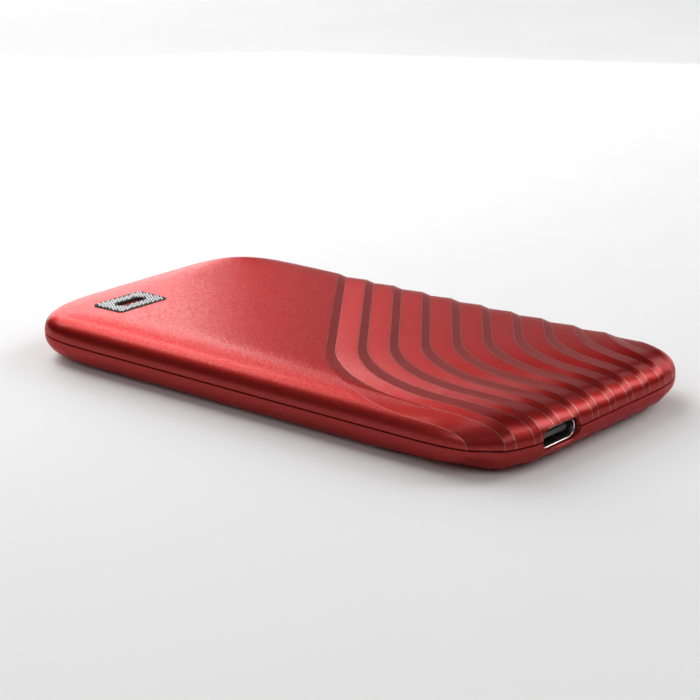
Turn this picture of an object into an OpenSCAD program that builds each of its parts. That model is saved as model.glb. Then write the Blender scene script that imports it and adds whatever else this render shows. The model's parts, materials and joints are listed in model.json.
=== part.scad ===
// Closed pocket solid state drive: two ridged metal half-shells round a storage card on a USB-C board.
// Origin: centre of the underside. +X points to the port end, +Z up. All sizes are millimetres.

/* [Case] */
// Length of the case, along X
case_l = 100; // [99:0.5:104]
// Width of the case, along Y
case_w = 55; // [54:0.5:60]
// Thickness of the case, along Z
case_h = 8.9; // [8.9:0.1:9.6]
// Wall of each metal half-shell
shell_wall = 0.85; // [0.75:0.05:0.85]
// Gap between the half-shells, filled by the seam seal
seam_gap = 0.16; // [0.1:0.02:0.24]

/* [Rounding] */
// Reach of each rounded corner in plan
corner_r = 22; // [20:0.5:24]
// Squareness of the corners in plan, where 2 is a circle
corner_power = 4.4; // [3.8:0.1:5]
// How far the rounding reaches in over the top
top_reach = 12; // [11:0.25:12.5]
// How late the top rounding leaves the flat
top_power = 3.9; // [3.6:0.1:4.2]
// How fast the top rounding rises from the seam
top_rise = 2.4; // [2.2:0.05:2.6]
// How far the rounding reaches in under the bottom
bottom_reach = 6.2; // [5.5:0.1:6.5]
// How late the bottom rounding leaves the flat
bottom_power = 2.3; // [2.2:0.05:2.6]
// How fast the bottom rounding falls from the seam
bottom_rise = 2.3; // [2.2:0.05:2.6]

/* [Ridges] */
// Depth of the valleys between the ridge crests
ridge_depth = 0.4; // [0.1:0.05:0.4]
// Spacing of the crests, square to their diagonal stretch
diagonal_pitch = 4.98; // [4.8:0.02:5.2]
// Spacing of the crests where they run out over the port end
port_end_pitch = 4.79; // [4.7:0.01:4.9]
// Angle from X of the direction square to the diagonal stretch
ridge_angle = 37.2; // [36:0.2:39]
// Bend radius of the first crest
bend_r = 33.5; // [31:0.5:36]
// How much tighter the bend gets from one crest to the next
bend_r_step = 1.7; // [1.5:0.05:1.9]

/* [Port] */
// Centre of the port across the end face
port_y = -11.85; // [-12.5:0.05:-11.5]
// Width of the port cut-out
port_w = 9.1; // [9.1:0.05:9.4]
// Height of the port cut-out
port_h = 3.3; // [3.3:0.05:3.5]
// How far the receptacle sits back from the end face
port_setback = 0.85; // [0.7:0.05:1]

/* [Badge] */
// Badge size along X
badge_l = 7; // [6:0.1:8]
// Badge size along Y
badge_w = 11.4; // [10:0.1:12]
// Spacing of the raised studs along each row on the badge
stud_pitch = 0.47; // [0.45:0.01:0.7]
// How far the badge plate stands above the top
badge_proud = 0.08; // [0:0.02:0.2]

/* [Storage card] */
// Width of the storage card
card_w = 22; // [21.5:0.5:22]
// Length of the storage card
card_l = 80; // [79:0.5:80]
// Centre of the card across the case
card_y = 2; // [1.5:0.25:2.25]

/* [Hidden] */

eps = 0.01;

// Case levels and the straight core between the corners
mid_z = case_h / 2;
floor_z = ridge_depth + shell_wall;
ceiling_z = case_h - ridge_depth - shell_wall;
core_x = case_l / 2 - corner_r;
core_y = case_w / 2 - corner_r;
top_rounding = [top_reach, top_power, top_rise];
bottom_rounding = [bottom_reach, bottom_power, bottom_rise];
hollow_share = 0.78;

// Ridge lines: crest 0 is the first beside the plain half
first_crest_offset = -3.27;
first_crest_y = 1.1 - case_w / 2;
valley_on_diagonal = 0.28;
valley_at_port_end = 0.68;
full_turn = 90 - ridge_angle;
last_ridge = 10;

// Row layout of the ridged skin
half_stations = 15;
station_power = 2.5;
plain_rows = 24;
plain_power = 1.7;
fan_rows = [-0.8, -0.62, -0.46, -0.33, -0.22, -0.13, -0.06];
rows_past_last = 6;
far_away = 160;
search_steps = 45;

// Badge, in a shallow pocket near the plain corner
badge_at = [13.1 - case_l / 2, 13.9 - case_w / 2];
badge_corner_r = 1;
badge_floor_z = case_h - 0.3;
badge_top_z = case_h + badge_proud;
stud_w = 0.34;
stud_l = 1;
stud_t = 0.06;
stud_row_pitch = 0.78;
stud_angle = 39.5;
stud_margin = 0.5;
window_l = 5.6;
window_w = 1.7;

// Receptacle
usb_w = 8.94;
usb_h = 3.16;
usb_wall = 0.3;
usb_l = 7.35;
usb_front_x = case_l / 2 - port_setback;
usb_back_x = usb_front_x - usb_l;
tongue_t = 0.7;
tongue_w = 6.7;
tongue_front_x = usb_front_x - 0.9;
usb_block_l = 2.6;
contact_count = 12;
contact_pitch = 0.5;

// Bridge board
board_t = 0.8;
board_top_z = mid_z - usb_h / 2;
board_z = board_top_z - board_t;
board_x0 = case_l / 2 - 23;
board_x1 = case_l / 2 - 3.9;
board_half_w = 18;
screw_x = board_x0 + 2.6;
screw_y = board_half_w - 2.4;
gasket_x0 = board_x1 + 0.1;
gasket_t = 1.2;

// Storage card
card_t = 0.8;
card_z = 4.3;
card_top_z = card_z + card_t;
card_x1 = case_l / 2 - 14;
card_x0 = card_x1 - card_l;
finger_l = 4;
socket_x0 = card_x1 - 3;
socket_x1 = card_x1 + 4.8;
socket_h = 3.2;
chip_t = 1.2;
chip_top_z = card_top_z + chip_t;
label_t = 0.1;

// Frame
ring_out = shell_wall + 0.65;
ring_in = ring_out + 1.3;
ring_half_h = 1.3;
rail_t = 2;
rail_y = 16;
rail_x0 = -case_l / 2 + 14;
rail_x1 = case_l / 2 - 26;
adhesive_t = 0.3;
rib_top_z = 2.8;
standoff_z = 1.9;

// ---------- plan shape ----------

// Distance in from the outline, negative outside it
function inset(p) =
    corner_r - pow(pow(max(abs(p.x) - core_x, 0), corner_power)
                 + pow(max(abs(p.y) - core_y, 0), corner_power), 1 / corner_power);

// Rounding profile: 0 at the outline, 1 from the reach inwards. A rounding is [reach, power, rise].
function dome(d, rounding) =
    pow(1 - pow(min(1, max(0, 1 - d / rounding[0])), rounding[1]), 1 / rounding[2]);

// The outline moved in by d, with m steps round each corner
function outline(d, m) = [
    for (q = [0:3], i = [0:m])
        let (t = 90 * i / m, a = (q % 2 == 0) ? t : 90 - t,
             sx = (q == 0 || q == 3) ? 1 : -1, sy = (q < 2) ? 1 : -1,
             r = corner_r - d)
            [sx * (core_x + r * pow(cos(a), 2 / corner_power)),
             sy * (core_y + r * pow(sin(a), 2 / corner_power))]
];

// ---------- ridge lines ----------
// A line is named by s: whole numbers are crests, and s below 0 fills the plain half.

function share(s) = s - floor(s);
function depth_share(s) =
    s < 0 || s > last_ridge ? 0
    : share(s) < valley_on_diagonal ? share(s) / valley_on_diagonal
    : (1 - share(s)) / (1 - valley_on_diagonal);
function end_share(s) =
    share(s) < valley_on_diagonal ? share(s) * valley_at_port_end / valley_on_diagonal
    : 1 - (1 - share(s)) * (1 - valley_at_port_end) / (1 - valley_on_diagonal);
function line_offset(s) = first_crest_offset + diagonal_pitch * s;
function line_end_y(s) = first_crest_y + port_end_pitch * (s < 0 ? s : floor(s) + end_share(s));
function line_r(s) = bend_r - bend_r_step * s;
function line_turn(s) = full_turn * min(1, max(0, 1 + s));

function normal(turn) = [cos(ridge_angle + turn), sin(ridge_angle + turn)];
function heading(turn) = [sin(ridge_angle + turn), -cos(ridge_angle + turn)];
function bend_start(s) =
    let (y = line_end_y(s), x = (line_offset(s) - y * normal(0).y) / normal(0).x)
        [x, y] - heading(0) * line_r(s) * tan(full_turn / 2);

// Point at distance t along line s, from the start of its bend
function on_line(s, t) =
    let (r = line_r(s), turn = line_turn(s), arc = r * turn * PI / 180, start = bend_start(s))
        t <= 0 ? start + heading(0) * t
        : t <= arc ? start + r * (normal(0) - normal(t / r * 180 / PI))
        : start + r * (normal(0) - normal(turn)) + heading(turn) * (t - arc);

function deepest(s, lo, hi, n) =
    n == 0 ? (lo + hi) / 2
    : let (a = lo + (hi - lo) / 3, b = hi - (hi - lo) / 3)
        inset(on_line(s, a)) < inset(on_line(s, b)) ? deepest(s, a, hi, n - 1) : deepest(s, lo, b, n - 1);
function crossing(s, outer, inner, n) =
    n == 0 ? (outer + inner) / 2
    : let (m = (outer + inner) / 2)
        inset(on_line(s, m)) < 0 ? crossing(s, m, inner, n - 1) : crossing(s, outer, m, n - 1);
function middle(s) = deepest(s, -far_away, far_away, search_steps);

// The line that only touches the outline, between one that misses it and one that crosses it
function touching(miss, cross, n) =
    n == 0 ? (miss + cross) / 2
    : let (m = (miss + cross) / 2)
        inset(on_line(m, middle(m))) < 0 ? touching(m, cross, n - 1) : touching(miss, m, n - 1);

first_touch = touching(-14, -5, 25);
last_touch = touching(last_ridge + 2, last_ridge, 25);

function cluster(i) =
    let (u = i / half_stations)
        u <= 1 ? pow(u, station_power) / 2 : 1 - pow(2 - u, station_power) / 2;

// Crest and valley lines. The faces of the ridges run straight from one to the next.
edges = [for (k = [0:last_ridge], f = [0, valley_on_diagonal]) if (k + f <= last_ridge) k + f];
lines = concat(
    [for (i = [1:plain_rows]) first_touch + (-1 - first_touch) * pow(i / plain_rows, plain_power)],
    fan_rows,
    edges,
    [for (i = [1:rows_past_last])
        last_ridge + (last_touch - last_ridge) * (1 - pow(1 - i / (rows_past_last + 1), 2))]
);

skin_plan = [
    for (s = lines)
        let (m = middle(s), a = crossing(s, -far_away, m, search_steps),
             b = crossing(s, far_away, m, search_steps))
            [for (i = [0:2 * half_stations]) on_line(s, a + (b - a) * cluster(i))]
];
stations = 2 * half_stations + 1;
row_count = len(lines);
first_pole = on_line(first_touch, middle(first_touch));
last_pole = on_line(last_touch, middle(last_touch));

// ---------- shells ----------

// Solid under one ridged skin, standing on the plane of the seam
module ridged_half(rounding) {
    base = seam_gap / 2;
    rise = mid_z - base;
    points = concat(
        [for (j = [0:row_count - 1], i = [0:stations - 1])
            let (p = skin_plan[j][i], rim = i == 0 || i == stations - 1,
                 lift = rise - ridge_depth * depth_share(lines[j]))
                [p.x, p.y, base + (rim ? 0 : lift * dome(inset(p), rounding))]],
        [[first_pole.x, first_pole.y, base], [last_pole.x, last_pole.y, base]]
    );
    first = row_count * stations;
    last = first + 1;
    end_row = (row_count - 1) * stations;
    skin = [
        for (j = [0:row_count - 2], i = [0:stations - 2], half = [0, 1])
            let (a = j * stations + i, d = a + stations)
                half == 0 ? [a, d, d + 1] : [a, d + 1, a + 1]
    ];
    first_fan = [for (i = [0:stations - 2]) [first, i, i + 1]];
    last_fan = [for (i = [0:stations - 2]) [end_row + i, last, end_row + i + 1]];
    base_face = concat(
        [first], [for (j = [0:row_count - 1]) j * stations + stations - 1],
        [last], [for (j = [row_count - 1:-1:0]) j * stations]
    );
    polyhedron(points, concat(skin, first_fan, last_fan, [base_face]), convexity = 6);
}

// Smooth hollow inside one half-shell, open towards the seam. Its rounding is tighter than the skin's.
module hollow(rounding) {
    corner_steps = 8;
    inner = [hollow_share * rounding[0] - shell_wall, rounding[1], rounding[2]];
    rise = ceiling_z - mid_z;
    fractions = [0, 0.008, 0.03, 0.1, 0.22, 0.42, 0.7, 1];
    levels = concat([[shell_wall, -1]],
        [for (g = fractions) [shell_wall + g * inner[0], rise * dome(g * inner[0], inner)]]);
    ring = 4 * (corner_steps + 1);
    count = len(levels);
    points = [for (l = levels, p = outline(l[0], corner_steps)) [p.x, p.y, l[1]]];
    walls = [
        for (k = [0:count - 2], i = [0:ring - 1], half = [0, 1])
            let (a = k * ring + i, b = k * ring + (i + 1) % ring)
                half == 0 ? [a, a + ring, b + ring] : [a, b + ring, b]
    ];
    caps = [[for (i = [0:ring - 1]) i], [for (i = [ring - 1:-1:0]) (count - 1) * ring + i]];
    polyhedron(points, concat(walls, caps), convexity = 4);
}

module stadium(w, h) {
    square([w - h, h], center = true);
    for (side = [-1, 1])
        translate([side * (w - h) / 2, 0]) circle(d = h, $fn = 48);
}

// Stadium prism along X, centred on the port
module port_prism(w, h, x0, x1) {
    translate([x0, port_y, mid_z]) rotate([90, 0, 90]) linear_extrude(x1 - x0) stadium(w, h);
}

// Rounded rectangle of the badge, moved in by a margin
module badge_shape(margin) {
    square([badge_l - 2 * margin, badge_w - 2 * badge_corner_r], center = true);
    square([badge_l - 2 * badge_corner_r, badge_w - 2 * margin], center = true);
    for (sx = [-1, 1], sy = [-1, 1])
        translate([sx * (badge_l / 2 - badge_corner_r), sy * (badge_w / 2 - badge_corner_r)])
            circle(badge_corner_r - margin, $fn = 32);
}

// Plain slot through the badge that shows the cover below
module badge_window(margin) {
    rotate(90) stadium(window_l + 2 * margin, window_w + 2 * margin);
}

module top_cover() {
    color("firebrick") difference() {
        translate([0, 0, mid_z]) ridged_half(top_rounding);
        translate([0, 0, mid_z]) hollow(top_rounding);
        port_prism(port_w, port_h, case_l / 2 - 3, case_l / 2 + 1);
        translate([badge_at.x, badge_at.y, badge_floor_z]) linear_extrude(1) badge_shape(0);
    }
}

module bottom_cover() {
    color("firebrick") difference() {
        translate([0, 0, mid_z]) mirror([0, 0, 1]) ridged_half(bottom_rounding);
        translate([0, 0, mid_z]) mirror([0, 0, 1]) hollow(bottom_rounding);
        port_prism(port_w, port_h, case_l / 2 - 3, case_l / 2 + 1);
    }
}

// Flat ring between two insets from the outline, broken at the port
module ring(d_out, d_in, z, h, gap) {
    translate([0, 0, z]) linear_extrude(h) difference() {
        polygon(outline(d_out, 10));
        polygon(outline(d_in, 10));
        translate([case_l / 2 - 5, port_y - gap / 2]) square([6, gap]);
    }
}

module seam_seal() {
    color("black") ring(0.5, 0.8, mid_z - seam_gap / 2, seam_gap, port_w + 0.1);
}

module badge_plate() {
    color("dimgray") translate([badge_at.x, badge_at.y, badge_floor_z])
        linear_extrude(badge_top_z - badge_floor_z) difference() {
            badge_shape(0.05);
            badge_window(0);
        }
}

// Diamond studs in staggered rows, all clear of the plate's edge and of its slot
module badge_studs() {
    reach = (badge_l + badge_w) / 2;
    rows = ceil(reach / stud_row_pitch);
    columns = ceil(reach / stud_pitch);
    color("silver") translate([badge_at.x, badge_at.y, badge_top_z])
        for (j = [-rows:rows], i = [-columns:columns])
            let (u = (i + (abs(j) % 2) / 2) * stud_pitch, v = j * stud_row_pitch,
                 p = [u * cos(stud_angle) - v * sin(stud_angle), u * sin(stud_angle) + v * cos(stud_angle)],
                 slot = [abs(p.x), max(0, abs(p.y) - (window_l - window_w) / 2)])
                if (abs(p.x) < badge_l / 2 - stud_margin && abs(p.y) < badge_w / 2 - stud_margin
                    && abs(p.x) + abs(p.y) < reach - badge_corner_r - stud_margin / 2
                    && norm(slot) > window_w / 2 + stud_margin)
                    translate(p) rotate(stud_angle) linear_extrude(stud_t)
                        polygon([[stud_w / 2, 0], [0, stud_l / 2], [-stud_w / 2, 0], [0, -stud_l / 2]]);
}

// ---------- frame ----------

module frame_rails() {
    for (side = [-1, 1])
        translate([rail_x0, side * rail_y - rail_t / 2, floor_z + adhesive_t])
            cube([rail_x1 - rail_x0, rail_t, ceiling_z - floor_z - 2 * adhesive_t]);
}

// Ribs from the rails to the ring, and the low cross ribs under the card
module frame_ribs() {
    side_y = case_w / 2 - ring_in + 0.3;
    rib_w = 1.6;
    for (x = [rail_x0 + 2, rail_x0 + 24, rail_x1 - 4], side = [0, 1])
        translate([x, side == 0 ? -side_y : rail_y, mid_z - ring_half_h])
            cube([rib_w, side_y - rail_y, 2 * ring_half_h]);
    for (x = [rail_x0 + 24, rail_x1 - 4])
        translate([x, -rail_y, floor_z + adhesive_t])
            cube([rib_w, 2 * rail_y, rib_top_z - floor_z - adhesive_t]);
}

// Beam under the card's free end, and the arms that join it to the rails and the ring
module standoff_beam() {
    beam_w = 3.6;
    arm_x0 = ring_in - 0.3 - case_l / 2;
    translate([card_x0 - beam_w / 2, -rail_y - rail_t / 2, floor_z + adhesive_t])
        cube([beam_w, 2 * rail_y + rail_t, rib_top_z - floor_z - adhesive_t]);
    for (side = [-1, 1])
        translate([arm_x0, side * rail_y - rail_t / 2, rib_top_z - 0.3])
            cube([rail_x0 - arm_x0 + 1, rail_t, mid_z + ring_half_h - rib_top_z + 0.3]);
}

// Bosses above the bridge board, each joined to the end of a rail
module board_bosses() {
    boss_h = 2.6;
    for (side = [-1, 1])
        translate([screw_x, side * screw_y, board_top_z]) {
            cylinder(r = 2.1, h = boss_h, $fn = 40);
            translate([rail_x1 - screw_x - 1, -1, 0.4]) cube([screw_x - rail_x1, rail_t, boss_h - 0.4]);
        }
}

module inner_frame() {
    color("black") difference() {
        union() {
            ring(ring_out, ring_in, mid_z - ring_half_h, 2 * ring_half_h, port_w + 2);
            frame_rails();
            frame_ribs();
            standoff_beam();
            board_bosses();
        }
        translate([card_x0, card_y, 0]) cylinder(r = 1.3, h = case_h, $fn = 40);
        for (side = [-1, 1])
            translate([screw_x, side * screw_y, 0]) cylinder(r = 0.8, h = case_h, $fn = 40);
    }
}

module adhesive(z) {
    for (side = [-1, 1])
        translate([rail_x0, side * rail_y - rail_t / 2, z]) cube([rail_x1 - rail_x0, rail_t, adhesive_t]);
}

module top_adhesive() {
    color("white") adhesive(ceiling_z - adhesive_t);
}

module bottom_adhesive() {
    color("white") adhesive(floor_z);
}

// ---------- receptacle ----------

module usb_shell() {
    color("silver") difference() {
        port_prism(usb_w, usb_h, usb_back_x, usb_front_x);
        port_prism(usb_w - 2 * usb_wall, usb_h - 2 * usb_wall, usb_back_x - eps, usb_front_x + eps);
    }
}

// Moulded block that fills the back of the shell and holds the tongue
module usb_block() {
    color("black") difference() {
        port_prism(usb_w - 2 * usb_wall, usb_h - 2 * usb_wall, usb_back_x, usb_back_x + usb_block_l);
        translate([usb_back_x - eps, port_y - tongue_w / 2, mid_z - tongue_t / 2])
            cube([usb_block_l + 2 * eps, tongue_w, tongue_t]);
    }
}

// Tongue that the plug slides over, with a slit for the plate inside it
module usb_tongue() {
    tongue_l = tongue_front_x - usb_back_x;
    color("black") difference() {
        translate([usb_back_x, port_y - tongue_w / 2, mid_z - tongue_t / 2])
            cube([tongue_l, tongue_w, tongue_t]);
        translate([usb_back_x - eps, port_y - tongue_w / 2 + 0.4, mid_z - 0.075])
            cube([tongue_l - 0.4, tongue_w - 0.8, 0.15]);
    }
}

module usb_midplate() {
    color("silver") translate([usb_back_x, port_y - tongue_w / 2 + 0.4, mid_z - 0.075])
        cube([tongue_front_x - usb_back_x - 0.5, tongue_w - 0.8, 0.15]);
}

module usb_contacts() {
    contact_l = tongue_front_x - 0.5 - usb_back_x - usb_block_l;
    color("gold") for (i = [0:contact_count - 1], side = [-1, 1])
        translate([tongue_front_x - 0.5 - contact_l,
                   port_y + (i - (contact_count - 1) / 2) * contact_pitch - 0.13,
                   mid_z + (side > 0 ? tongue_t / 2 : -tongue_t / 2 - 0.06)])
            cube([contact_l, 0.26, 0.06]);
}

module port_gasket() {
    color("black") difference() {
        port_prism(usb_w + 1.8, usb_h + 1.4, gasket_x0, gasket_x0 + gasket_t);
        port_prism(usb_w, usb_h, gasket_x0 - eps, gasket_x0 + gasket_t + eps);
    }
}

// ---------- bridge board ----------

module bridge_board() {
    color("darkgreen") difference() {
        translate([board_x0, -board_half_w, board_z]) cube([board_x1 - board_x0, 2 * board_half_w, board_t]);
        for (side = [-1, 1])
            translate([screw_x, side * screw_y, 0]) cylinder(r = 1, h = case_h, $fn = 32);
    }
}

// Flat package with its leads left out, centred at a place on a board
module package(at, size) {
    translate([at.x - size.x / 2, at.y - size.y / 2, at.z]) cube(size);
}

module bridge_chip() {
    color("black") package([board_x0 + 3.1, 2, board_top_z], [5, 5, 0.9]);
}

module firmware_chip() {
    color("black") package([board_x0 + 3.2, 8.4, board_top_z], [4, 5, 0.9]);
}

module crystal() {
    color("silver") package([board_x1 - 2, -2.4, board_top_z], [2, 1.6, 0.6]);
}

module inductors() {
    color("gray") for (y = [-7.6, -4.2])
        package([board_x0 + 3, y, board_top_z], [2.6, 2.6, 1.2]);
}

// Row of equal small chips along Y
module chip_row(x, y0, z, count, pitch, size) {
    for (i = [0:count - 1]) package([x, y0 + i * pitch, z], size);
}

module bridge_capacitors() {
    color("tan") {
        chip_row(board_x0 + 9, -16, board_top_z, 4, 1.7, [1.6, 0.8, 0.8]);
        chip_row(board_x1 - 2.6, 1, board_top_z, 8, 1.6, [1.6, 0.8, 0.8]);
    }
}

module bridge_resistors() {
    color("black") chip_row(board_x1 - 0.9, 1.2, board_top_z, 9, 1.2, [1, 0.5, 0.35]);
}

// ---------- storage card ----------

module card_socket() {
    lip = 1.15;
    color("black") difference() {
        translate([socket_x0, card_y - card_w / 2, board_top_z])
            cube([socket_x1 - socket_x0, card_w, socket_h]);
        translate([socket_x0 - eps, card_y - card_w / 2 + lip, card_z - 0.02])
            cube([card_x1 - socket_x0 + 0.1, card_w - 2 * lip, card_t + 0.04]);
    }
}

module socket_contacts() {
    tail_count = 16;
    tail_pitch = 1.2;
    color("gold") for (i = [0:tail_count - 1])
        translate([socket_x1, card_y + (i - (tail_count - 1) / 2) * tail_pitch - 0.15, board_top_z])
            cube([0.9, 0.3, 0.15]);
}

module card_board() {
    key_y = card_y + 5.6;
    side_step = 1.15;
    color("darkgreen") difference() {
        translate([card_x0, card_y - card_w / 2, card_z]) cube([card_l, card_w, card_t]);
        translate([card_x0, card_y, card_z - eps]) cylinder(r = 1.75, h = card_t + 2 * eps, $fn = 40);
        translate([card_x1 - finger_l + 0.5, key_y - 0.6, card_z - eps]) cube([finger_l, 1.2, card_t + 2 * eps]);
        for (side = [-1, 1])
            translate([card_x1, card_y + side * card_w / 2, card_z + card_t / 2])
                cube([2 * finger_l, 2 * side_step, 2 * card_t], center = true);
    }
}

module card_fingers() {
    finger_count = 33;
    color("gold") for (i = [0:finger_count - 1], side = [0, 1])
        let (y = (i - (finger_count - 1) / 2) * 0.5)
            if (abs(y - 5.6) > 0.9)
                translate([card_x1 - 2.6, card_y + y - 0.15, card_z + (side == 0 ? -0.02 : card_t)])
                    cube([2.2, 0.3, 0.02]);
}

module memory_chips() {
    color("black") for (x = [card_x0 + 20, card_x0 + 40])
        package([x, card_y, card_top_z], [13.5, 18, chip_t]);
}

module controller_chip() {
    color("black") package([card_x1 - 18, card_y, card_top_z], [12, 12, chip_t]);
}

module power_chip() {
    color("black") package([card_x1 - 7.5, card_y - 6.5, card_top_z], [4, 4, 0.8]);
}

module card_capacitors() {
    color("tan") {
        chip_row(card_x1 - 9, card_y - 1, card_top_z, 6, 1.7, [1.6, 0.8, 0.8]);
        chip_row(card_x1 - 26.8, card_y - 8.5, card_top_z, 11, 1.7, [1, 0.5, 0.5]);
        chip_row(card_x0 + 8, card_y - 5.1, card_top_z, 7, 1.7, [1, 0.5, 0.5]);
    }
}

module card_label() {
    color("gainsboro") translate([card_x0 + 11, card_y - 9.5, chip_top_z]) cube([57.5, 19, label_t]);
}

module standoff() {
    color("goldenrod") difference() {
        union() {
            translate([card_x0, card_y, rib_top_z]) cylinder(r = 2.2, h = card_z - rib_top_z, $fn = 40);
            translate([card_x0, card_y, standoff_z]) cylinder(r = 1.3, h = rib_top_z - standoff_z, $fn = 40);
        }
        translate([card_x0, card_y, standoff_z + 0.3]) cylinder(r = 1, h = 4, $fn = 40);
    }
}

// Cross-headed screw, head up, with its shoulder at z = 0
module screw(r, length, head_r, head_h) {
    difference() {
        union() {
            translate([0, 0, -length]) cylinder(r = r, h = length, $fn = 40);
            cylinder(r = head_r, h = head_h, $fn = 40);
        }
        for (a = [0, 90])
            rotate(a) translate([-head_r * 0.55, -head_r * 0.12, head_h - 0.35]) cube([head_r * 1.1, head_r * 0.24, 1]);
    }
}

module card_screw() {
    color("silver") translate([card_x0, card_y, card_top_z]) screw(1, 2.6, 1.9, 0.8);
}

module board_screws() {
    color("silver") for (side = [-1, 1])
        translate([screw_x, side * screw_y, board_z]) mirror([0, 0, 1]) screw(0.8, 3.2, 1.6, 0.7);
}

module thermal_pad_top() {
    color("lightsteelblue") translate([card_x0 + 12, card_y - 9, chip_top_z + label_t])
        cube([55.5, 18, ceiling_z - chip_top_z - label_t]);
}

module thermal_pad_bottom() {
    color("lightsteelblue") translate([board_x0 + 0.5, -9, floor_z]) cube([14, 18, board_z - floor_z]);
}

top_cover();
bottom_cover();
seam_seal();
inner_frame();
badge_plate();
badge_studs();
usb_shell();
usb_block();
usb_tongue();
usb_midplate();
usb_contacts();
port_gasket();
bridge_board();
bridge_chip();
firmware_chip();
crystal();
inductors();
bridge_capacitors();
bridge_resistors();
card_socket();
socket_contacts();
card_board();
card_fingers();
memory_chips();
controller_chip();
power_chip();
card_capacitors();
card_label();
standoff();
card_screw();
board_screws();
thermal_pad_top();
thermal_pad_bottom();
top_adhesive();
bottom_adhesive();
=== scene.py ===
"""Looks for the pocket solid state drive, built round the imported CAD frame. Lengths are in millimetres
inside the shape functions and become metres when a mesh is made."""

import json
import math

import bmesh
import bpy
import numpy as np
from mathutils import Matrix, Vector


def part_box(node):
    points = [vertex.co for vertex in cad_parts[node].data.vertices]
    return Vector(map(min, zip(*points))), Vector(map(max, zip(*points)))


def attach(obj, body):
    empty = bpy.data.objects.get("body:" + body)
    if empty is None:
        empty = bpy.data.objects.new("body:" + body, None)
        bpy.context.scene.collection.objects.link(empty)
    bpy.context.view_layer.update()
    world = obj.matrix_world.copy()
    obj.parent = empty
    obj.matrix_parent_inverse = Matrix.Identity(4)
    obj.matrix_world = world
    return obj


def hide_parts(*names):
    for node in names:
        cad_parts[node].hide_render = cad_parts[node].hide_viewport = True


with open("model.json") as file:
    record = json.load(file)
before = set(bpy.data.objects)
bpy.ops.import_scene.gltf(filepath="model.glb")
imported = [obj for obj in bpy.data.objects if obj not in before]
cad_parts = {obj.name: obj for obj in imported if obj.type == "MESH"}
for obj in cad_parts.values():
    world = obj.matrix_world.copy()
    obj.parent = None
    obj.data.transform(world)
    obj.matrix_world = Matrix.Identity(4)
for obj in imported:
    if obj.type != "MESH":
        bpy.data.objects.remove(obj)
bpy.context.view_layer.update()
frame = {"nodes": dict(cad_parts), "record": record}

MM = 0.001
RECORD = frame["record"]


def box_mm(node):
    """Lowest and highest corner of a CAD node, in millimetres."""
    lo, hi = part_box(node)
    return np.array(lo) / MM, np.array(hi) / MM


TOP_LO, TOP_HI = box_mm("top_cover")
BOTTOM_HI = box_mm("bottom_cover")[1]
HALF_L = TOP_HI[0]
HALF_W = TOP_HI[1]
CASE_H = TOP_HI[2]
MID_Z = (TOP_LO[2] + BOTTOM_HI[2]) / 2
SEAM_GAP = TOP_LO[2] - BOTTOM_HI[2]

# The case's shape, as the CAD source has it
CORNER_R = 22.0
CORNER_POWER = 4.4
CORE = np.array([HALF_L - CORNER_R, HALF_W - CORNER_R])
TOP_ROUNDING = (12.0, 3.9, 2.4)
BOTTOM_ROUNDING = (6.2, 2.3, 2.3)
HOLLOW_SHARE = 0.78
SHELL_WALL = 0.85
RIDGE_DEPTH = 0.4

# Ridge lines: a line is named by s, whole numbers are crests, and s below 0 fills the plain half
FIRST_OFFSET = -3.27
FIRST_END_Y = 1.1 - HALF_W
DIAGONAL_PITCH = 4.98
PORT_END_PITCH = 4.79
RIDGE_ANGLE = math.radians(37.2)
FULL_TURN = math.pi / 2 - RIDGE_ANGLE
BEND_R = 33.5
BEND_R_STEP = 1.7
VALLEY_ON_DIAGONAL = 0.28
VALLEY_AT_END = 0.68
LAST_RIDGE = 10

# Small roundings made only here
FILLET = 0.09
RIM_R = 0.07

# Search for the place where a line crosses the outline
FAR_AWAY = 160.0
SEARCH_STEPS = 60


# ---------- shape functions ----------

def inset(p):
    """Distance in from the outline, negative outside it."""
    over = np.maximum(np.abs(p) - CORE, 0)
    return CORNER_R - (over ** CORNER_POWER).sum(-1) ** (1 / CORNER_POWER)


def dome(distance, rounding):
    """Rounding profile: 0 at the outline, 1 from the reach inwards."""
    reach, power, rise = rounding
    u = np.clip(1 - distance / reach, 0, 1)
    return (1 - u ** power) ** (1 / rise)


def depth_share(s):
    """How far down from the crests a line lies: 0 on a crest and in the plain half, 1 in a valley."""
    f = s - np.floor(s)
    wave = np.where(f < VALLEY_ON_DIAGONAL, f / VALLEY_ON_DIAGONAL, (1 - f) / (1 - VALLEY_ON_DIAGONAL))
    return np.where((s < 0) | (s > LAST_RIDGE), 0, wave)


def normal(angle):
    return np.stack([np.cos(angle), np.sin(angle)], -1)


def heading(angle):
    return np.stack([np.sin(angle), -np.cos(angle)], -1)


def end_y(s):
    k = np.floor(s)
    f = s - k
    before = f * VALLEY_AT_END / VALLEY_ON_DIAGONAL
    after = 1 - (1 - f) * (1 - VALLEY_AT_END) / (1 - VALLEY_ON_DIAGONAL)
    share = np.where(f < VALLEY_ON_DIAGONAL, before, after)
    return FIRST_END_Y + PORT_END_PITCH * np.where(s < 0, s, k + share)


def on_line(s, t):
    """Points at distances t along the lines s, from the start of each line's bend."""
    r = BEND_R - BEND_R_STEP * s
    turn = FULL_TURN * np.clip(1 + s, 0, 1)
    y = end_y(s)
    n0 = normal(RIDGE_ANGLE)
    h0 = heading(RIDGE_ANGLE)
    corner = np.stack([(FIRST_OFFSET + DIAGONAL_PITCH * s - y * n0[1]) / n0[0], y], -1)
    start = corner - h0 * (r * math.tan(FULL_TURN / 2))[..., None]
    bent = RIDGE_ANGLE + np.clip(t / r, 0, turn)
    straight_in = np.minimum(t, 0)[..., None] * h0
    straight_out = np.maximum(t - r * turn, 0)[..., None] * heading(RIDGE_ANGLE + turn)
    return start + straight_in + r[..., None] * (n0 - normal(bent)) + straight_out


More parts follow.
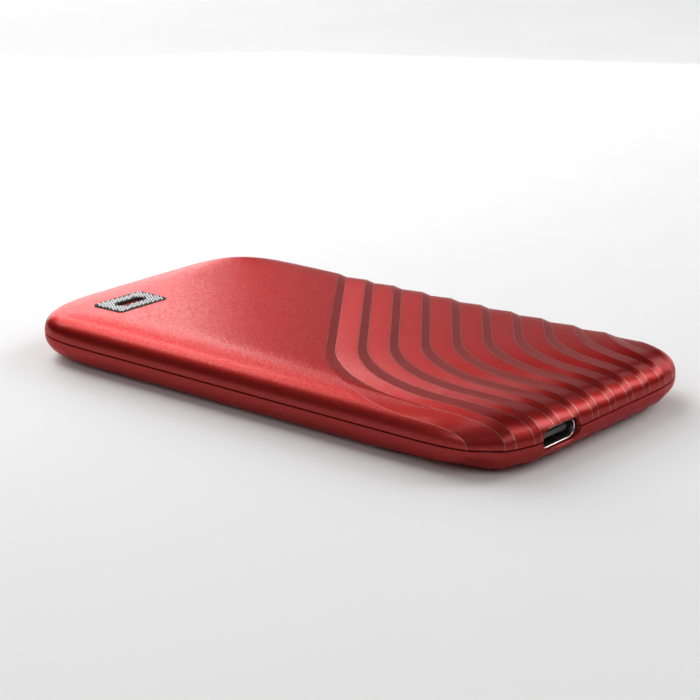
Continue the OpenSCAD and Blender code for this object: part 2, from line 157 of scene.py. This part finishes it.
def deepest(s):
    """Distance along each line where it is furthest inside the outline."""
    lo = np.full_like(s, -FAR_AWAY)
    hi = np.full_like(s, FAR_AWAY)
    for _ in range(SEARCH_STEPS):
        a = lo + (hi - lo) / 3
        b = hi - (hi - lo) / 3
        rises = inset(on_line(s, a)) < inset(on_line(s, b))
        lo = np.where(rises, a, lo)
        hi = np.where(rises, hi, b)
    return (lo + hi) / 2


def crossing(s, outer, inner):
    """Distance along each line where it crosses the outline."""
    for _ in range(SEARCH_STEPS):
        m = (outer + inner) / 2
        out = inset(on_line(s, m)) < 0
        outer = np.where(out, m, outer)
        inner = np.where(out, inner, m)
    return (outer + inner) / 2


def touching(miss, cross):
    """The line that only touches the outline."""
    for _ in range(SEARCH_STEPS):
        m = np.array([(miss + cross) / 2])
        if inset(on_line(m, deepest(m)))[0] < 0:
            miss = m[0]
        else:
            cross = m[0]
    return (miss + cross) / 2


# ---------- the two covers ----------

# Lines of the mesh: how many of each kind, and how strongly they crowd together
PLAIN_LINES = 60
PLAIN_CROWDING = 1.7
FAN_START = 1.0
FAN_LINES = 18
FAN_CROWDING = 1.5
FACE_LINES = 9
FILLET_LINES = 3
FIRST_LINE_RANGE = (-14.0, -5.0)
PAST_LAST = 2.0

# Stations along a line: how many, and how far in from each end they crowd together
EDGE_STATIONS = 22
INNER_STATIONS = 60
EDGE_REACH = 10.0
EDGE_CROWDING = 0.75
LEAST_SLOPE = 0.4
SLOPE_STEP = 0.02
MOST_EDGE_SHARE = 0.8

# Most of a face's width that a fillet takes, and a floor under lengths that are divided by
MOST_FILLET_SHARE = 0.45
NO_LENGTH = 1e-6

# Where the rim's rounding has its middle ring, and the hollow's rings as shares of its reach
RIM_START = 0.3
HOLLOW_LEVELS = (0.01, 0.03, 0.1, 0.25, 0.5, 1.0)


def stations(s):
    """Plan points along each line, closer together over the rounded ends."""
    middle = deepest(s)
    t_in = crossing(s, np.full_like(s, -FAR_AWAY), middle)
    t_out = crossing(s, np.full_like(s, FAR_AWAY), middle)
    length = t_out - t_in
    phi = np.linspace(0, math.pi / 2, EDGE_STATIONS + 1)[:-1]
    offsets = EDGE_REACH * (1 - np.cos(phi) ** EDGE_CROWDING)
    slopes = [inset(on_line(s, t + way * SLOPE_STEP)) / SLOPE_STEP for t, way in ((t_in, 1), (t_out, -1))]
    stretch = [1 / np.clip(slope, LEAST_SLOPE, 1) for slope in slopes]
    rows = []
    for i in range(len(s)):
        a, b = stretch[0][i] * EDGE_REACH, stretch[1][i] * EDGE_REACH
        scale = min(1, MOST_EDGE_SHARE * length[i] / (a + b))
        start = offsets * stretch[0][i] * scale
        end = length[i] - offsets[::-1] * stretch[1][i] * scale
        inner = np.linspace(a * scale, length[i] - b * scale, INNER_STATIONS)
        rows.append(t_in[i] + np.concatenate([start, inner, end]))
    t = np.array(rows)
    return on_line(np.repeat(s[:, None], t.shape[1], 1), t)


def skin_plan():
    """Lines over the whole outline and the two poles where the outermost lines shrink to a point."""
    first = touching(*FIRST_LINE_RANGE)
    last = touching(LAST_RIDGE + PAST_LAST, float(LAST_RIDGE))
    plain = [first + (-FAN_START - first) * (i / PLAIN_LINES) ** PLAIN_CROWDING
             for i in range(1, PLAIN_LINES + 1)]
    fan = [-FAN_START * (1 - i / FAN_LINES) ** FAN_CROWDING for i in range(1, FAN_LINES)]
    edges = [k + f for k in range(LAST_RIDGE + 1) for f in (0, VALLEY_ON_DIAGONAL) if k + f <= LAST_RIDGE]
    beyond = [LAST_RIDGE + (last - LAST_RIDGE) * (1 - (1 - i / FAN_LINES) ** 2)
              for i in range(1, FAN_LINES)]
    poles = [on_line(np.array([p]), deepest(np.array([p])))[0] for p in (first, last)]
    before, after = np.array(plain + fan), np.array(beyond)
    edges = np.array(edges)
    return (before, stations(before)), (edges, stations(edges)), (after, stations(after)), poles


SMOOTH, EDGES, BEYOND, POLES = skin_plan()


def raised(lines, plan, rounding):
    """Gives plan points on these lines their height above the middle of the case."""
    base = SEAM_GAP / 2
    lift = MID_Z - base - RIDGE_DEPTH * depth_share(lines)[:, None]
    z = base + lift * dome(np.maximum(inset(plan), 0), rounding)
    z[:, 0] = z[:, -1] = base + RIM_R
    return np.concatenate([plan, z[..., None]], -1)


def faceted(before, edges, after):
    """Flat faces from edge to edge, with a small fillet on every edge. Gives the rows, and which gaps
    between rows belong to a fillet."""
    rows, fillet = [before], [False] * (len(before) - 1)
    ends = [before[-2]] + list(edges) + [after[0]]
    for i in range(1, len(ends) - 1):
        here = ends[i]
        back = ends[i - 1] - here
        on = ends[i + 1] - here
        back_w, on_w = (
            np.minimum(FILLET / np.maximum(np.linalg.norm(way, axis=-1, keepdims=True), NO_LENGTH),
                       MOST_FILLET_SHARE) for way in (back, on))
        start, end = here + back * back_w, here + on * on_w
        for j in range(FILLET_LINES + 1):
            w = j / FILLET_LINES
            rows.append(((1 - w) ** 2 * start + 2 * w * (1 - w) * here + w ** 2 * end)[None])
            fillet.append(j > 0)
        if i < len(ends) - 2:
            stop = ends[i + 1] - on * on_w
            for j in range(1, FACE_LINES):
                rows.append((end + (stop - end) * (j / FACE_LINES))[None])
                fillet.append(False)
    rows.append(after)
    fillet += [False] * len(after)
    return np.concatenate(rows), fillet


def moved_in(p, distance):
    """Points moved towards the middle until they lie this far in from the outline."""
    over = np.maximum(np.abs(p) - CORE, 0)
    at = CORNER_R - inset(p)
    return np.sign(p) * (np.minimum(np.abs(p), CORE) + over * ((CORNER_R - distance) / at)[..., None])


def cover_mesh(name, rounding, side):
    """Closed half-shell: ridged skin, rim at the seam and smooth hollow. side is 1 for the top, -1 below."""
    base = SEAM_GAP / 2
    grid, fillet = faceted(*(raised(lines, plan, rounding) for lines, plan in (SMOOTH, EDGES, BEYOND)))
    rows, count = grid.shape[:2]
    poles = np.array([[p[0], p[1], base + RIM_R] for p in POLES])
    points = [grid.reshape(-1, 3), poles]
    index = np.arange(rows * count).reshape(rows, count)
    first, last = rows * count, rows * count + 1
    faces, slots = [], []
    for j in range(rows - 1):
        for i in range(count - 1):
            faces.append((index[j, i], index[j, i + 1], index[j + 1, i + 1], index[j + 1, i]))
            slots.append(int(fillet[j]))
    for i in range(count - 1):
        faces.append((first, index[0, i + 1], index[0, i]))
        faces.append((index[-1, i], index[-1, i + 1], last))
    loop = [first] + list(index[:, -1]) + [last] + list(index[::-1, 0])
    rim = np.concatenate(points)[loop][:, :2]
    own = np.maximum(inset(rim), 0)
    inner = (HOLLOW_SHARE * rounding[0] - SHELL_WALL, *rounding[1:])
    hollow_rise = MID_Z - RIDGE_DEPTH - SHELL_WALL
    levels = [(own + RIM_R * RIM_START, base + RIM_R * RIM_START), (own + RIM_R, base), (SHELL_WALL, base)]
    levels += [(SHELL_WALL + g * inner[0], max(base, hollow_rise * float(dome(g * inner[0], inner))))
               for g in HOLLOW_LEVELS]
    below = loop
    total = first + 2
    for distance, level in levels:
        ring = moved_in(rim, distance)
        points.append(np.column_stack([ring, np.full(len(ring), level)]))
        above = list(range(total, total + len(ring)))
        total += len(ring)
        for i in range(len(ring)):
            j = (i + 1) % len(ring)
            faces.append((below[j], below[i], above[i], above[j]))
        below = above
    faces.append(tuple(reversed(below)))
    slots += [0] * (len(faces) - len(slots))
    co = np.concatenate(points)
    co[:, 2] = MID_Z + side * co[:, 2]
    if side < 0:
        faces = [tuple(reversed(f)) for f in faces]
    obj = mesh_object(name, co, faces)
    obj.data.materials.append(MATERIALS["red_metal"])
    # The fillet faces of the top cover take the paler edge metal, a painted highlight along the crests and
    # valleys
    if side > 0:
        obj.data.materials.append(MATERIALS["painted_edge_highlight"])
        obj.data.polygons.foreach_set("material_index", slots)
    return obj


# ---------- mesh helpers ----------

def mesh_object(name, points, faces):
    mesh = bpy.data.meshes.new(name)
    mesh.from_pydata((np.asarray(points) * MM).tolist(), [], [tuple(int(i) for i in f) for f in faces])
    mesh.update()
    obj = bpy.data.objects.new(name, mesh)
    bpy.context.scene.collection.objects.link(obj)
    return obj


def sharpen(obj, degrees):
    """Smooth shading, with a crease wherever two faces meet at more than this angle."""
    bm = bmesh.new()
    bm.from_mesh(obj.data)
    for f in bm.faces:
        f.smooth = True
    for e in bm.edges:
        e.smooth = len(e.link_faces) == 2 and e.calc_face_angle(0) < math.radians(degrees)
    bm.to_mesh(obj.data)
    bm.free()


def cut(obj, cutter):
    """Takes the cutter out of the object, and removes the cutter."""
    m = obj.modifiers.new("cut", "BOOLEAN")
    m.operation = "DIFFERENCE"
    m.solver = "EXACT"
    m.object = cutter
    made = bpy.data.meshes.new_from_object(obj.evaluated_get(bpy.context.evaluated_depsgraph_get()))
    obj.modifiers.clear()
    obj.data = made
    bpy.data.objects.remove(cutter)


def stadium(width, height, steps=20):
    """Points round a stadium, counter-clockwise, width along the first axis."""
    r = height / 2
    out = []
    for side in (1, -1):
        for i in range(steps + 1):
            a = math.pi * (i / steps - 0.5) + (0 if side > 0 else math.pi)
            out.append((side * (width / 2 - r) + r * math.cos(a), r * math.sin(a)))
    return np.array(out)


def loft(name, rings, closed=False):
    """Joins rings of equal length. Its ends are capped, or joined to each other if it is closed."""
    n = len(rings[0])
    faces = []
    count = len(rings)
    for k in range(count if closed else count - 1):
        a, b = k * n, ((k + 1) % count) * n
        for i in range(n):
            j = (i + 1) % n
            faces.append((a + i, a + j, b + j, b + i))
    if not closed:
        faces.append(tuple(reversed(range(n))))
        faces.append(tuple(range((count - 1) * n, count * n)))
    return mesh_object(name, np.concatenate(rings), faces)


def along_x(profile, x, at):
    """A profile in Y and Z set at one X, centred on a place."""
    return np.column_stack([np.full(len(profile), x), at[1] + profile[:, 0], at[2] + profile[:, 1]])


# ---------- materials ----------

def new_material(name):
    mat = bpy.data.materials.new(name)
    mat.use_nodes = True
    tree = mat.node_tree
    return mat, tree, tree.nodes["Principled BSDF"]


# Middle range of a noise, which holds nearly all of its values
NOISE_LO, NOISE_HI = 0.3, 0.7
GLOSS_SPREAD = 0.1


def noise(tree, scale, detail=2.0, rough=0.5):
    where = tree.nodes.new("ShaderNodeTexCoord")
    tex = tree.nodes.new("ShaderNodeTexNoise")
    tex.inputs["Scale"].default_value = scale
    tex.inputs["Detail"].default_value = detail
    tex.inputs["Roughness"].default_value = rough
    tree.links.new(where.outputs["Object"], tex.inputs["Vector"])
    return tex.outputs["Fac"]


def spread(tree, value, lo, hi, in_lo=NOISE_LO, in_hi=NOISE_HI):
    """Stretches the range in_lo to in_hi of a value to lo to hi."""
    m = tree.nodes.new("ShaderNodeMapRange")
    m.inputs["From Min"].default_value = in_lo
    m.inputs["From Max"].default_value = in_hi
    m.inputs["To Min"].default_value = lo
    m.inputs["To Max"].default_value = hi
    tree.links.new(value, m.inputs["Value"])
    return m.outputs["Result"]


def tint(tree, value, dark, light):
    ramp = tree.nodes.new("ShaderNodeValToRGB")
    ramp.color_ramp.elements[0].position = NOISE_LO
    ramp.color_ramp.elements[0].color = (*dark, 1)
    ramp.color_ramp.elements[1].position = NOISE_HI
    ramp.color_ramp.elements[1].color = (*light, 1)
    tree.links.new(value, ramp.inputs["Fac"])
    return ramp.outputs["Color"]


def bump(tree, shader, height, strength, distance_mm):
    b = tree.nodes.new("ShaderNodeBump")
    b.inputs["Strength"].default_value = strength
    b.inputs["Distance"].default_value = distance_mm * MM
    tree.links.new(height, b.inputs["Height"])
    tree.links.new(b.outputs["Normal"], shader.inputs["Normal"])


def scaled(color, k):
    return tuple(min(1, c * k) for c in color)


def grained(name, color, metallic, roughness, grain_mm,
            contrast=0.1, bumpiness=0.3, depth_mm=0.01, shade=1.0):
    """Solid colour with a fine grain in its colour, gloss and relief. shade scales the colour."""
    mat, tree, shader = new_material(name)
    color = scaled(color, shade)
    shader.inputs["Metallic"].default_value = metallic
    fine = noise(tree, 1 / (grain_mm * MM))
    tree.links.new(tint(tree, fine, scaled(color, 1 - contrast), scaled(color, 1 + contrast)),
                   shader.inputs["Base Color"])
    tree.links.new(spread(tree, fine, roughness * (1 - GLOSS_SPREAD), roughness * (1 + GLOSS_SPREAD)),
                   shader.inputs["Roughness"])
    bump(tree, shader, fine, bumpiness, depth_mm)
    return mat


def slot_color(slot):
    return tuple(next(m for m in RECORD["materials"] if m["slot"] == slot)["base_color"][:3])


FINISHES = {
    "red_metal": dict(metallic=1, roughness=0.45, grain_mm=0.16, contrast=0.25, bumpiness=0.5, shade=0.62),
    "seal_black": dict(metallic=0, roughness=0.7, grain_mm=0.1),
    "frame_black": dict(metallic=0, roughness=0.55, grain_mm=0.3),
    "badge_dark": dict(metallic=0, roughness=0.8, grain_mm=0.1, shade=0.35),
    "badge_silver": dict(metallic=1, roughness=0.35, grain_mm=0.1, shade=0.38),
    "port_steel": dict(metallic=1, roughness=0.22, grain_mm=0.25, contrast=0.05, bumpiness=0.15),
    "contact_gold": dict(metallic=1, roughness=0.25, grain_mm=0.1),
    "port_black": dict(metallic=0, roughness=0.5, grain_mm=0.2, shade=3),
    "foam_black": dict(metallic=0, roughness=0.9, grain_mm=0.2, bumpiness=0.9),
    "board_green": dict(metallic=0, roughness=0.35, grain_mm=1.2, contrast=0.25),
    "chip_black": dict(metallic=0, roughness=0.6, grain_mm=0.15),
    "can_steel": dict(metallic=1, roughness=0.3, grain_mm=0.2),
    "ferrite_grey": dict(metallic=0, roughness=0.8, grain_mm=0.2),
    "capacitor_tan": dict(metallic=0, roughness=0.5, grain_mm=0.3),
    "label_foil": dict(metallic=0.2, roughness=0.5, grain_mm=0.5, contrast=0.04),
    "post_brass": dict(metallic=1, roughness=0.3, grain_mm=0.2),
    "screw_steel": dict(metallic=1, roughness=0.35, grain_mm=0.2),
    "pad_blue": dict(metallic=0, roughness=0.9, grain_mm=0.6),
    "adhesive_white": dict(metallic=0, roughness=0.9, grain_mm=0.5),
}
MATERIALS = {slot: grained(slot, slot_color(slot), **finish) for slot, finish in FINISHES.items()}

# Paler, less red metal on the small fillets of the ridges: a painted highlight that draws a light line along
# every crest and valley
EDGE_HIGHLIGHT_COLOR = (0.28, 0.13, 0.12)
EDGE_HIGHLIGHT_FINISH = dict(metallic=1, roughness=0.4, grain_mm=0.16, contrast=0.05, bumpiness=0.2)
MATERIALS["painted_edge_highlight"] = grained("painted_edge_highlight", EDGE_HIGHLIGHT_COLOR, **EDGE_HIGHLIGHT_FINISH)

# Anodised layer: glancing is its colour at a glancing view, coat the mean weight of its clear top
ANODISED = {
    "red_metal": dict(glancing=(1, 0.2, 0.18), coat=0.38),
    # The edge metal's paler glancing colour is part of its painted highlight
    "painted_edge_highlight": dict(glancing=(1, 0.5, 0.5), coat=0.31),
}
COAT_ROUGHNESS = 0.23
COAT_IOR = 1.5
GLITTER_MM = 0.25
GLITTER_SHARE = 0.4
GLITTER_NOISE = (0.42, 0.58)


def anodise(material, glancing, coat):
    """Dyed oxide layer over a metal: it keeps its colour at a glancing view, and glitters finely."""
    tree = material.node_tree
    shader = tree.nodes["Principled BSDF"]
    shader.inputs["Specular Tint"].default_value = (*glancing, 1)
    shader.inputs["Coat Roughness"].default_value = COAT_ROUGHNESS
    shader.inputs["Coat IOR"].default_value = COAT_IOR
    glitter = noise(tree, 1 / (GLITTER_MM * MM), detail=1.0)
    weight = spread(tree, glitter, (1 - GLITTER_SHARE) * coat, (1 + GLITTER_SHARE) * coat, *GLITTER_NOISE)
    tree.links.new(weight, shader.inputs["Coat Weight"])


for slot, layer in ANODISED.items():
    anodise(MATERIALS[slot], **layer)


def dress(obj, slot):
    obj.data.materials.clear()
    obj.data.materials.append(MATERIALS[slot])


def piece(obj, slot, *stands_for):
    """Dresses a new piece, and puts it in the frame in place of the CAD nodes that it stands for."""
    if not obj.data.materials:
        dress(obj, slot)
    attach(obj, "root")
    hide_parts(*stands_for)


for part in RECORD["subparts"]:
    dress(frame["nodes"][part["node"]], part["material_slot"])


# ---------- port and badge places ----------

SHELL_LO, SHELL_HI = box_mm("usb_shell")
PORT = (SHELL_LO + SHELL_HI) / 2
USB_W = SHELL_HI[1] - SHELL_LO[1]
USB_H = SHELL_HI[2] - SHELL_LO[2]
USB_WALL = 0.3
LIP_STEPS = 8
PORT_CLEARANCE = 0.08

# The cut-out's lip: its width, and how far in from the end face it starts and ends
PORT_LIP = 0.14
LIP_INNER = 0.45
LIP_OUTER = 0.25
PORT_CUT_DEPTH = 3
PAST_SURFACE = 1

PLATE_LO, PLATE_HI = box_mm("badge_plate")
BADGE = (PLATE_LO + PLATE_HI) / 2
BADGE_SIZE = PLATE_HI - PLATE_LO
BADGE_CORNER = 0.95
BADGE_GAP = 0.03


def rounded_rectangle(size_x, size_y, r, steps=8):
    out = []
    for q, (sx, sy) in enumerate(((1, 1), (-1, 1), (-1, -1), (1, -1))):
        for i in range(steps + 1):
            a = math.pi / 2 * (q + i / steps)
            out.append((sx * (size_x / 2 - r) + r * math.cos(a), sy * (size_y / 2 - r) + r * math.sin(a)))
    return np.array(out)


def along_z(profile, z, at):
    return np.column_stack([at[0] + profile[:, 0], at[1] + profile[:, 1], np.full(len(profile), z)])


def port_cutter():
    """Cut-out with a small lip where it meets the end face."""
    rings = []
    for depth, lip in ((PORT_CUT_DEPTH, 0), (LIP_INNER, 0), (LIP_OUTER, PORT_LIP), (-PAST_SURFACE, PORT_LIP)):
        grow = 2 * (PORT_CLEARANCE + lip)
        rings.append(along_x(stadium(USB_W + grow, USB_H + grow), HALF_L - depth, PORT))
    return loft("port_cutter", rings)


def badge_cutter():
    grow = 2 * BADGE_GAP
    profile = rounded_rectangle(BADGE_SIZE[0] + grow, BADGE_SIZE[1] + grow, BADGE_CORNER)
    return loft("badge_cutter", [along_z(profile, z, BADGE) for z in (PLATE_LO[2], CASE_H + PAST_SURFACE)])


COVER_CREASE = 32
SHELL_CREASE = 40

top_cover = cover_mesh("top_cover_skin", TOP_ROUNDING, 1)
cut(top_cover, port_cutter())
cut(top_cover, badge_cutter())
sharpen(top_cover, COVER_CREASE)
piece(top_cover, "red_metal", "top_cover")

bottom_cover = cover_mesh("bottom_cover_skin", BOTTOM_ROUNDING, -1)
cut(bottom_cover, port_cutter())
sharpen(bottom_cover, COVER_CREASE)
piece(bottom_cover, "red_metal", "bottom_cover")


# ---------- receptacle ----------

def receptacle():
    """Steel shell with a rolled front lip, as one closed loft from its outside to its inside."""
    lip = USB_WALL / 2
    rings = [along_x(stadium(USB_W, USB_H), SHELL_LO[0], PORT)]
    for i in range(LIP_STEPS + 1):
        a = math.pi * i / LIP_STEPS
        grow = -USB_WALL + USB_WALL * math.cos(a)
        x = SHELL_HI[0] - lip + lip * math.sin(a)
        rings.append(along_x(stadium(USB_W + grow, USB_H + grow), x, PORT))
    rings.append(along_x(stadium(USB_W - 2 * USB_WALL, USB_H - 2 * USB_WALL), SHELL_LO[0], PORT))
    shell = loft("receptacle_shell", rings, closed=True)
    sharpen(shell, SHELL_CREASE)
    piece(shell, "port_steel", "usb_shell")


receptacle()


# ---------- floor, lights, camera ----------

FLOOR_HALF = 3000.0
FLOOR_COLOR = (0.9, 0.9, 0.9)
FLOOR_FINISH = dict(metallic=0, roughness=0.9, grain_mm=40, contrast=0.01, bumpiness=0)
WORLD_STRENGTH = 0.03

# Name, azimuth and elevation of where it stands, distance, size and watts. The last two stand under the
# floor, which hides them, and light the underside where the floor is left out.
SOFTBOXES = (
    ("back_left_high", 150, 35, 800, 400, 1.263),
    ("back_left_low", 150, 12, 800, 400, 1.499),
    ("back_left_near", 120, 15, 300, 150, 0.037),
    ("left_near", 180, 38, 300, 150, 0.255),
    ("over_left", 180, 60, 800, 400, 0.826),
    ("back_near", 150, 15, 300, 150, 0.048),
    ("right", 60, 35, 800, 400, 2.147),
    ("front", 270, 35, 800, 400, 1.239),
    ("front_left", 210, 60, 800, 400, 0.384),
    ("back_low", 90, 12, 800, 400, 0.661),
    ("port_end", 0, 35, 800, 400, 1.032),
    ("overhead", 0, 90, 2500, 3500, 5),
    ("under_left", 230, -50, 800, 500, 5),
    ("under_right", 20, -40, 800, 500, 4),
)

CAMERA_AZIMUTH = math.radians(39.461)
CAMERA_ELEVATION = math.radians(17.52)
CAMERA_DISTANCE = 350.81
CAMERA_LENS = 109.99
CAMERA_SENSOR = 36
CAMERA_CLIP_M = (0.01, 20)


def stage_floor():
    half = FLOOR_HALF
    corners = [(-half, -half, 0), (half, -half, 0), (half, half, 0), (-half, half, 0)]
    floor = mesh_object("floor", corners, [(0, 1, 2, 3)])
    floor.data.materials.append(grained("floor_paper", FLOOR_COLOR, **FLOOR_FINISH))


def world_light(strength):
    world = bpy.data.worlds.new("studio")
    world.use_nodes = True
    world.node_tree.nodes["Background"].inputs["Color"].default_value = (1, 1, 1, 1)
    world.node_tree.nodes["Background"].inputs["Strength"].default_value = strength
    bpy.context.scene.world = world


def softbox(name, azimuth, elevation, distance, size, watts):
    """Square lamp that faces the part's origin."""
    a, e = math.radians(azimuth), math.radians(elevation)
    at = Vector((distance * math.cos(a) * math.cos(e), distance * math.sin(a) * math.cos(e),
                 distance * math.sin(e)))
    data = bpy.data.lights.new(name, "AREA")
    data.shape = "RECTANGLE"
    data.size = data.size_y = size * MM
    data.energy = watts
    lamp = bpy.data.objects.new(name, data)
    lamp.location = at * MM
    lamp.rotation_mode = "QUATERNION"
    lamp.rotation_quaternion = (-at).to_track_quat("-Z", "Y")
    bpy.context.scene.collection.objects.link(lamp)


def studio_camera():
    back = Vector((math.sin(CAMERA_AZIMUTH) * math.cos(CAMERA_ELEVATION),
                   -math.cos(CAMERA_AZIMUTH) * math.cos(CAMERA_ELEVATION), math.sin(CAMERA_ELEVATION)))
    data = bpy.data.cameras.new("camera")
    data.sensor_width = CAMERA_SENSOR
    data.lens = CAMERA_LENS
    data.clip_start, data.clip_end = CAMERA_CLIP_M
    cam = bpy.data.objects.new("camera", data)
    cam.location = (Vector((0, 0, CASE_H / 2)) + back * CAMERA_DISTANCE) * MM
    cam.rotation_mode = "QUATERNION"
    cam.rotation_quaternion = (-back).to_track_quat("-Z", "Y")
    bpy.context.scene.collection.objects.link(cam)
    bpy.context.scene.camera = cam


stage_floor()
world_light(WORLD_STRENGTH)
for row in SOFTBOXES:
    softbox(*row)
bpy.context.scene.view_settings.view_transform = "Standard"
studio_camera()
